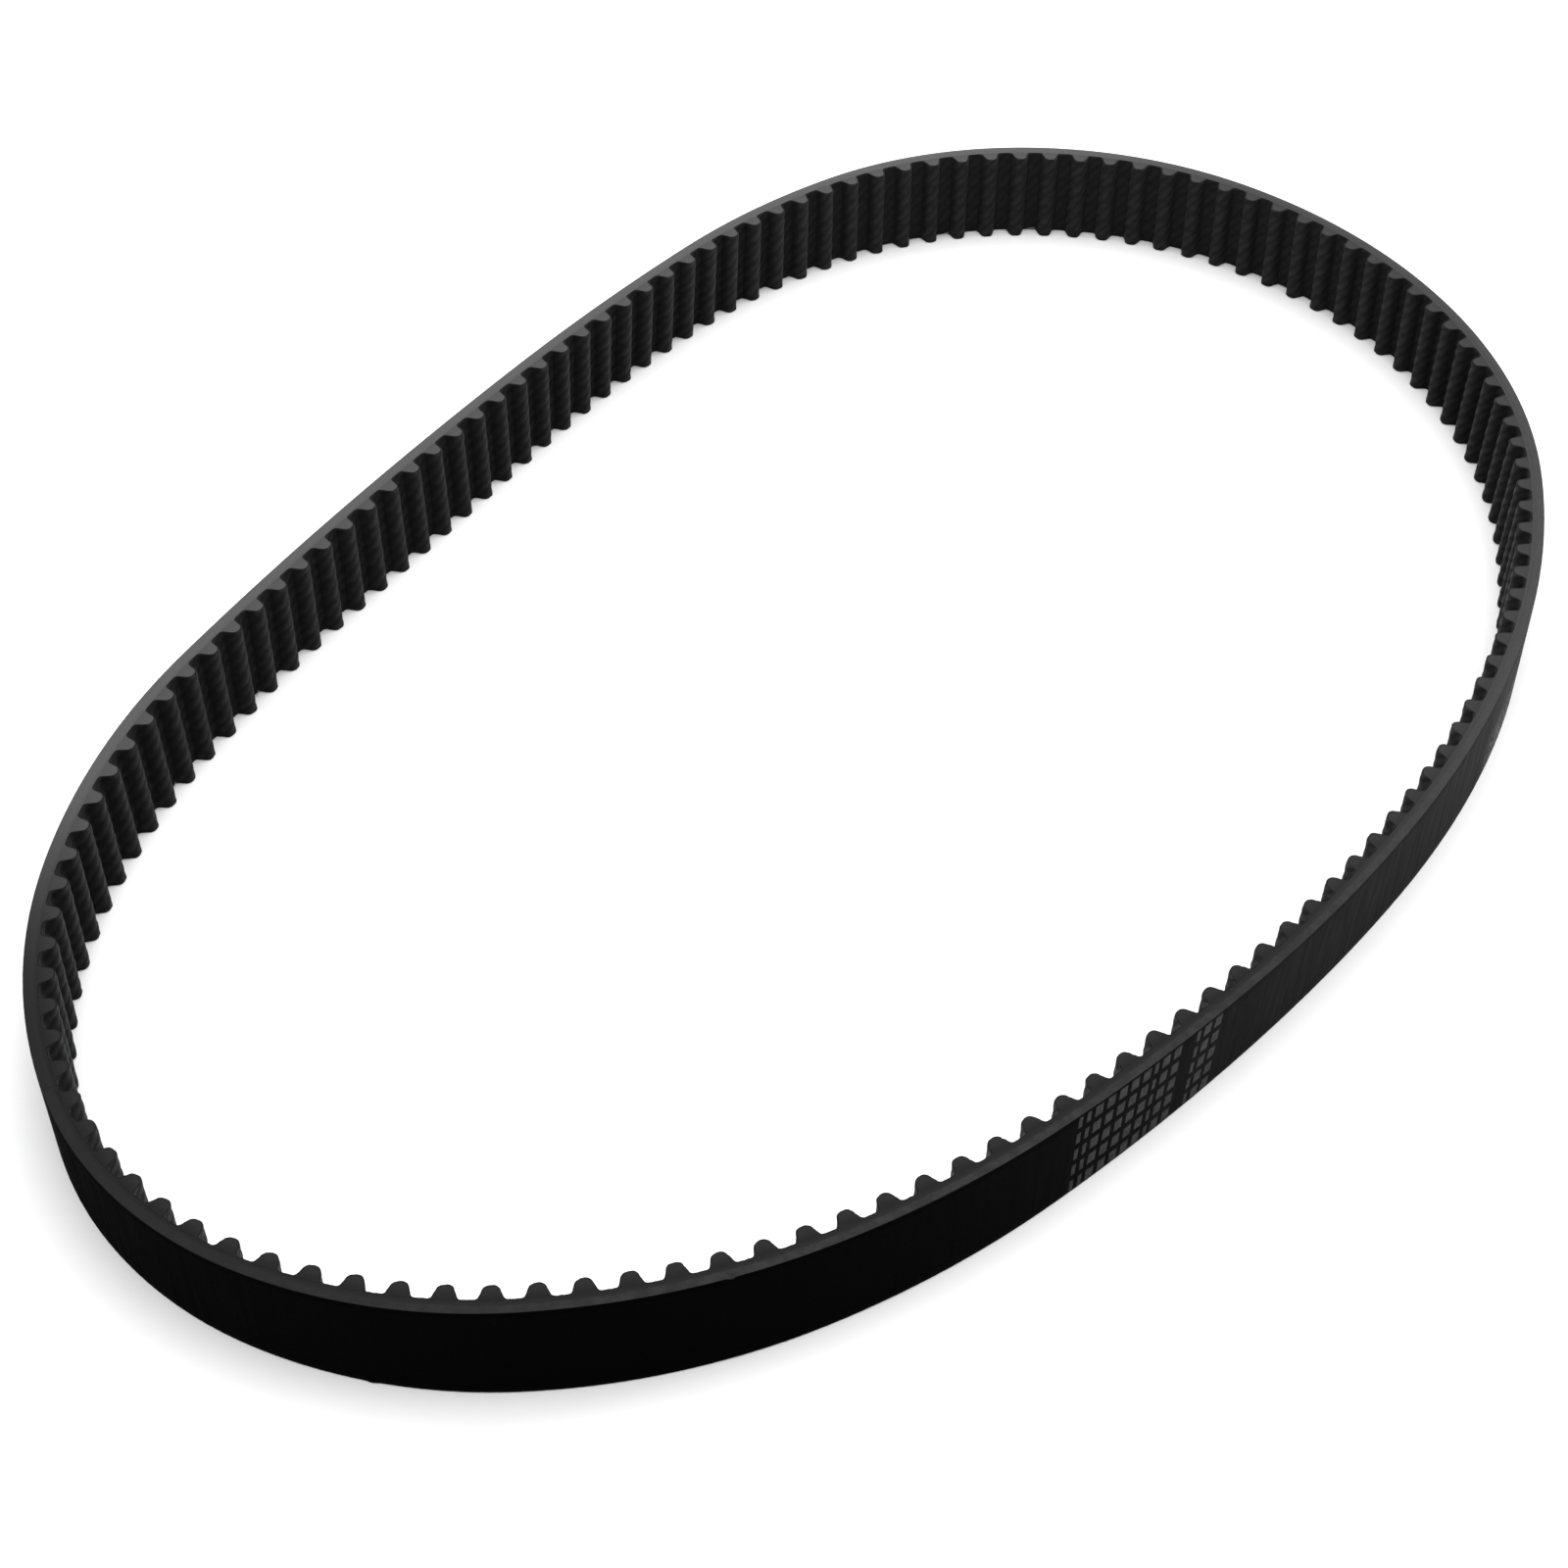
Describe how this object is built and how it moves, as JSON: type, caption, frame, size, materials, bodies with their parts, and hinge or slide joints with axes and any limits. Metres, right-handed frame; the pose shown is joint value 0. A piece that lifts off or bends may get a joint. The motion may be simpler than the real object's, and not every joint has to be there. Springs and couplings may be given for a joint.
{
  "type": "timing belt",
  "caption": "Endless toothed rubber belt with rounded teeth inside, standing on its cut edge in a loose egg-shaped loop that can be squeezed flatter or opened rounder.",
  "frame": {"origin": "on the lower cut edge's plane, under the middle of the loop's outline", "axes": "+Z across the belt's width, from the lower cut edge to the upper one; +X along the loop's long direction, from the tight bend to the wide bend; +Y towards the far side"},
  "size_m": [0.397, 0.2622, 0.023],
  "materials": {
    "backing_rubber": "matte",
    "tooth_rubber": "matte",
    "nylon_facing": "matte",
    "tensile_cord": "matte",
    "print_ink": "matte"
  },
  "bodies": {
    "tight_bend": {"backing_tight_bend": "backing_rubber", "cords_tight_bend": "tensile_cord", "teeth_tight_bend": "tooth_rubber", "facing_tight_bend": "nylon_facing"},
    "near_side_1": {"backing_near_side_1": "backing_rubber", "cords_near_side_1": "tensile_cord", "teeth_near_side_1": "tooth_rubber", "facing_near_side_1": "nylon_facing"},
    "near_side_2": {"backing_near_side_2": "backing_rubber", "cords_near_side_2": "tensile_cord", "teeth_near_side_2": "tooth_rubber", "facing_near_side_2": "nylon_facing", "print_marks": "print_ink"},
    "near_side_3": {"backing_near_side_3": "backing_rubber", "cords_near_side_3": "tensile_cord", "teeth_near_side_3": "tooth_rubber", "facing_near_side_3": "nylon_facing"},
    "wide_bend": {"backing_wide_bend": "backing_rubber", "cords_wide_bend": "tensile_cord", "teeth_wide_bend": "tooth_rubber", "facing_wide_bend": "nylon_facing"},
    "far_side_1": {"backing_far_side_1": "backing_rubber", "cords_far_side_1": "tensile_cord", "teeth_far_side_1": "tooth_rubber", "facing_far_side_1": "nylon_facing"},
    "far_side_2": {"backing_far_side_2": "backing_rubber", "cords_far_side_2": "tensile_cord", "teeth_far_side_2": "tooth_rubber", "facing_far_side_2": "nylon_facing"},
    "far_side_3": {"backing_far_side_3": "backing_rubber", "cords_far_side_3": "tensile_cord", "teeth_far_side_3": "tooth_rubber", "facing_far_side_3": "nylon_facing"},
    "tight_bend_end": {"backing_tight_bend_end": "backing_rubber", "cords_tight_bend_end": "tensile_cord", "teeth_tight_bend_end": "tooth_rubber", "facing_tight_bend_end": "nylon_facing"}
  },
  "joints": [
    {"name": "bend_tight_near", "type": "hinge", "parent": "tight_bend", "child": "near_side_1", "pos_m": [-0.18942, -0.05957, 0.0115], "axis": [0, 0, 1], "range_deg": [-20, 15], "stiffness_Nm_per_rad": 0.12},
    {"name": "bend_near_1_2", "type": "hinge", "parent": "near_side_1", "child": "near_side_2", "pos_m": [-0.06238, -0.12865, 0.0115], "axis": [0, 0, 1], "range_deg": [-15, 20], "stiffness_Nm_per_rad": 0.12},
    {"name": "bend_near_2_3", "type": "hinge", "parent": "near_side_2", "child": "near_side_3", "pos_m": [0.04889, -0.11922, 0.0115], "axis": [0, 0, 1], "range_deg": [-15, 20], "stiffness_Nm_per_rad": 0.12},
    {"name": "bend_near_wide", "type": "hinge", "parent": "near_side_3", "child": "wide_bend", "pos_m": [0.15492, -0.06591, 0.0115], "axis": [0, 0, 1], "range_deg": [-20, 15], "stiffness_Nm_per_rad": 0.12},
    {"name": "bend_wide_far", "type": "hinge", "parent": "wide_bend", "child": "far_side_1", "pos_m": [0.19249, 0.0579, 0.0115], "axis": [0, 0, 1], "range_deg": [-20, 15], "stiffness_Nm_per_rad": 0.12},
    {"name": "bend_far_1_2", "type": "hinge", "parent": "far_side_1", "child": "far_side_2", "pos_m": [0.06545, 0.12698, 0.0115], "axis": [0, 0, 1], "range_deg": [-15, 20], "stiffness_Nm_per_rad": 0.12},
    {"name": "bend_far_2_3", "type": "hinge", "parent": "far_side_2", "child": "far_side_3", "pos_m": [-0.0586, 0.09594, 0.0115], "axis": [0, 0, 1], "range_deg": [-15, 20], "stiffness_Nm_per_rad": 0.12},
    {"name": "bend_far_tight", "type": "hinge", "parent": "far_side_3", "child": "tight_bend_end", "pos_m": [-0.16463, 0.04263, 0.0115], "axis": [0, 0, 1], "range_deg": [-20, 15], "stiffness_Nm_per_rad": 0.12}
  ],
  "couplings": [
    {"joint": "bend_near_1_2", "follows": "bend_tight_near", "ratio": -1},
    {"joint": "bend_near_2_3", "follows": "bend_tight_near", "ratio": -1},
    {"joint": "bend_near_wide", "follows": "bend_tight_near", "ratio": 1},
    {"joint": "bend_wide_far", "follows": "bend_tight_near", "ratio": 1},
    {"joint": "bend_far_1_2", "follows": "bend_tight_near", "ratio": -1},
    {"joint": "bend_far_2_3", "follows": "bend_tight_near", "ratio": -1},
    {"joint": "bend_far_tight", "follows": "bend_tight_near", "ratio": 1}
  ]
}
